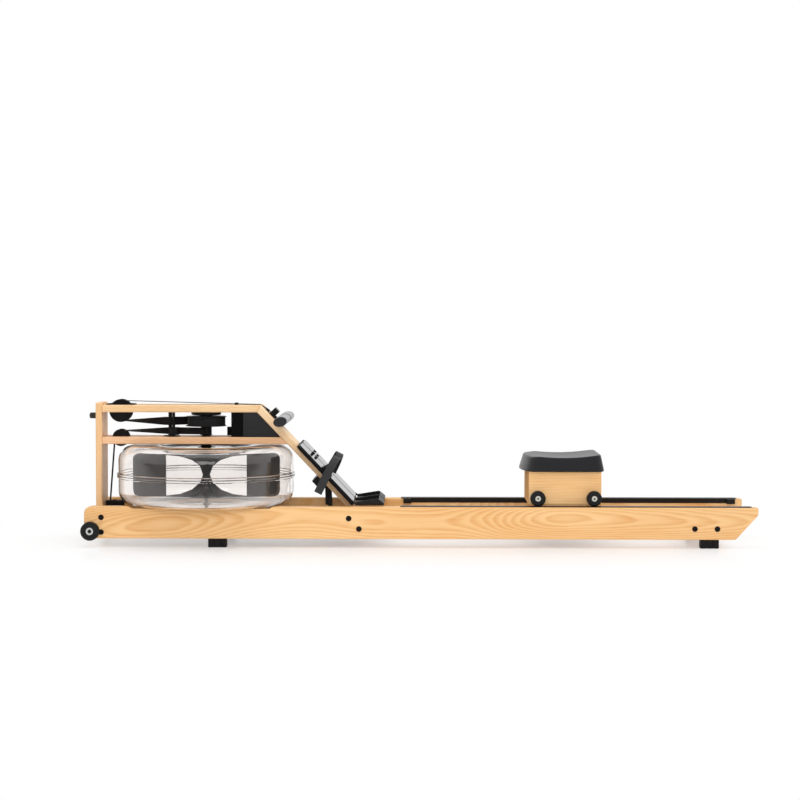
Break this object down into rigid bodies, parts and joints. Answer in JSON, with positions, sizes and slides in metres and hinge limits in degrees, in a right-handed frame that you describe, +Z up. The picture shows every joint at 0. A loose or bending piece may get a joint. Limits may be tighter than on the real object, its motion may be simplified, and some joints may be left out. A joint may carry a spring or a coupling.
{
  "type": "water rowing machine",
  "caption": "Wooden rowing machine with a clear water tank and paddle, a strap drive in an arch, a sloping footboard and a padded seat that rolls on rails.",
  "frame": {"origin": "on the floor, under the middle of the overall length and width", "axes": "+X along the machine from the tank to the rear end, +Y across it to the rower's right, +Z up"},
  "size_m": [2.0886, 0.562, 0.451],
  "materials": {
    "wood": "oiled pale ash, satin",
    "deck_wood": "oiled pale ash, satin",
    "black_plastic": "moulded, matt",
    "gloss_black": "moulded, glossy",
    "charcoal_plastic": "fine matt",
    "smoked_plastic": "moulded, semi gloss",
    "clear_plastic": "clear, faint warm tint",
    "black_rubber": "matt",
    "grip_rubber": "smooth, satin",
    "webbing": "woven webbing",
    "pad_foam": "moulded foam skin, satin",
    "steel": "brushed"
  },
  "bodies": {
    "frame": {"rail_left": "wood", "rail_right": "wood", "front_cross_brace": "wood", "foot_cross_brace": "wood", "rear_cross_brace": "wood", "front_post": "wood", "top_board": "wood", "strut_board": "wood", "deck_board": "deck_wood", "seat_track_left": "black_plastic", "seat_track_right": "black_plastic", "rubber_foot_front_left": "black_rubber", "rubber_foot_front_right": "black_rubber", "rubber_foot_rear_left": "black_rubber", "rubber_foot_rear_right": "black_rubber", "bumper": "black_rubber", "tank_lower_shell": "clear_plastic", "tank_upper_shell": "clear_plastic", "tank_gasket": "charcoal_plastic", "tank_fill_plug": "black_rubber", "shaft_bearing": "black_plastic", "upper_bearing": "black_plastic", "strap_guide_posts": "black_plastic", "pulley_bracket": "black_plastic", "strap_fairlead": "gloss_black", "drive_strap": "webbing", "drive_strap_lead": "webbing", "recoil_strap": "webbing", "bungee_cord": "black_rubber", "bungee_bracket": "black_plastic", "sensor_box": "black_plastic", "side_panel_left": "charcoal_plastic", "side_panel_right": "charcoal_plastic", "footboard": "black_plastic", "foot_strap_left": "webbing", "foot_strap_right": "webbing", "foot_cross_bar": "black_plastic"},
    "seat": {"seat_box": "wood", "seat_pad": "pad_foam"},
    "seat_wheel_front_left": {"seat_wheel_front_left": "black_rubber"},
    "seat_wheel_front_right": {"seat_wheel_front_right": "black_rubber"},
    "seat_wheel_rear_left": {"seat_wheel_rear_left": "black_rubber"},
    "seat_wheel_rear_right": {"seat_wheel_rear_right": "black_rubber"},
    "handle": {"handle_grip": "grip_rubber", "handle_yoke": "black_plastic"},
    "reel": {"strap_reel": "black_plastic", "strap_winding": "webbing"},
    "paddle": {"paddle": "smoked_plastic", "paddle_shaft": "steel"},
    "upper_pulley": {"upper_pulley": "black_plastic"},
    "lower_pulley": {"lower_pulley": "black_plastic"},
    "corner_roller_upper": {"corner_roller_upper": "black_plastic"},
    "corner_roller_lower": {"corner_roller_lower": "black_plastic"},
    "strap_guide_roller": {"strap_guide_roller": "black_plastic"},
    "bungee_pulley": {"bungee_pulley": "black_plastic"},
    "transport_wheel_left": {"transport_wheel_left": "black_rubber"},
    "transport_wheel_right": {"transport_wheel_right": "black_rubber"},
    "heel_rest_left": {"heel_rest_left": "gloss_black"},
    "heel_rest_right": {"heel_rest_right": "gloss_black"}
  },
  "joints": [
    {"name": "seat_slide", "type": "slide", "parent": "frame", "child": "seat", "axis": [1, 0, 0], "range_m": [-0.375, 0.438]},
    {"name": "seat_wheel_front_left_roll", "type": "hinge", "parent": "seat", "child": "seat_wheel_front_left", "pos_m": [0.36685, -0.1455, 0.15165], "axis": [0, 1, 0], "range_deg": [-920, 1075]},
    {"name": "seat_wheel_front_right_roll", "type": "hinge", "parent": "seat", "child": "seat_wheel_front_right", "pos_m": [0.36685, 0.1455, 0.15165], "axis": [0, 1, 0], "range_deg": [-920, 1075]},
    {"name": "seat_wheel_rear_left_roll", "type": "hinge", "parent": "seat", "child": "seat_wheel_rear_left", "pos_m": [0.54085, -0.1455, 0.15165], "axis": [0, 1, 0], "range_deg": [-920, 1075]},
    {"name": "seat_wheel_rear_right_roll", "type": "hinge", "parent": "seat", "child": "seat_wheel_rear_right", "pos_m": [0.54085, 0.1455, 0.15165], "axis": [0, 1, 0], "range_deg": [-920, 1075]},
    {"name": "handle_pull", "type": "slide", "parent": "frame", "child": "handle", "axis": [0.9848, 0, 0.1736], "range_m": [0, 1.15], "deforming": ["drive_strap_lead"]},
    {"name": "reel_turn", "type": "hinge", "parent": "frame", "child": "reel", "pos_m": [-0.67475, 0, 0.38], "axis": [0, 0, 1], "range_deg": [0, 1105]},
    {"name": "paddle_turn", "type": "hinge", "parent": "frame", "child": "paddle", "pos_m": [-0.67475, 0, 0.2], "axis": [0, 0, 1], "continuous": true},
    {"name": "upper_pulley_turn", "type": "hinge", "parent": "frame", "child": "upper_pulley", "pos_m": [-0.94375, 0, 0.415], "axis": [0, 1, 0], "range_deg": [0, 2100]},
    {"name": "corner_roller_upper_turn", "type": "hinge", "parent": "frame", "child": "corner_roller_upper", "pos_m": [-0.50675, 0, 0.425], "axis": [0, 1, 0], "range_deg": [0, 6550]},
    {"name": "corner_roller_lower_turn", "type": "hinge", "parent": "frame", "child": "corner_roller_lower", "pos_m": [-0.48478, 0, 0.41217], "axis": [0, 1, 0], "range_deg": [0, 6550]},
    {"name": "lower_pulley_turn", "type": "hinge", "parent": "frame", "child": "lower_pulley", "pos_m": [-0.94375, 0, 0.3295], "axis": [0, 1, 0], "range_deg": [0, 765]},
    {"name": "strap_guide_roller_turn", "type": "hinge", "parent": "frame", "child": "strap_guide_roller", "pos_m": [-0.77575, -0.0181, 0.3512], "axis": [0, 0, 1], "range_deg": [-925, 0]},
    {"name": "bungee_pulley_turn", "type": "hinge", "parent": "frame", "child": "bungee_pulley", "pos_m": [-0.96675, 0, 0.1175], "axis": [0, 1, 0], "range_deg": [0, 1195]},
    {"name": "transport_wheel_left_roll", "type": "hinge", "parent": "frame", "child": "transport_wheel_left", "pos_m": [-1.01525, -0.1816, 0.0507], "axis": [0, 1, 0], "continuous": true},
    {"name": "transport_wheel_right_roll", "type": "hinge", "parent": "frame", "child": "transport_wheel_right", "pos_m": [-1.01525, 0.1816, 0.0507], "axis": [0, 1, 0], "continuous": true},
    {"name": "heel_rest_left_slide", "type": "slide", "parent": "frame", "child": "heel_rest_left", "axis": [-0.6884, 0, 0.7254], "range_m": [0, 0.06]},
    {"name": "heel_rest_right_slide", "type": "slide", "parent": "frame", "child": "heel_rest_right", "axis": [-0.6884, 0, 0.7254], "range_m": [0, 0.06]}
  ],
  "couplings": [
    {"joint": "seat_wheel_front_left_roll", "follows": "seat_slide", "rad_per_m": 42.553},
    {"joint": "seat_wheel_front_right_roll", "follows": "seat_slide", "rad_per_m": 42.553},
    {"joint": "seat_wheel_rear_left_roll", "follows": "seat_slide", "rad_per_m": 42.553},
    {"joint": "seat_wheel_rear_right_roll", "follows": "seat_slide", "rad_per_m": 42.553},
    {"joint": "reel_turn", "follows": "handle_pull", "rad_per_m": 16.69},
    {"joint": "upper_pulley_turn", "follows": "handle_pull", "rad_per_m": 31.746},
    {"joint": "corner_roller_upper_turn", "follows": "handle_pull", "rad_per_m": 99.01},
    {"joint": "corner_roller_lower_turn", "follows": "handle_pull", "rad_per_m": 99.01},
    {"joint": "lower_pulley_turn", "follows": "handle_pull", "rad_per_m": 11.5},
    {"joint": "strap_guide_roller_turn", "follows": "handle_pull", "rad_per_m": -13.9},
    {"joint": "bungee_pulley_turn", "follows": "handle_pull", "rad_per_m": 18}
  ]
}
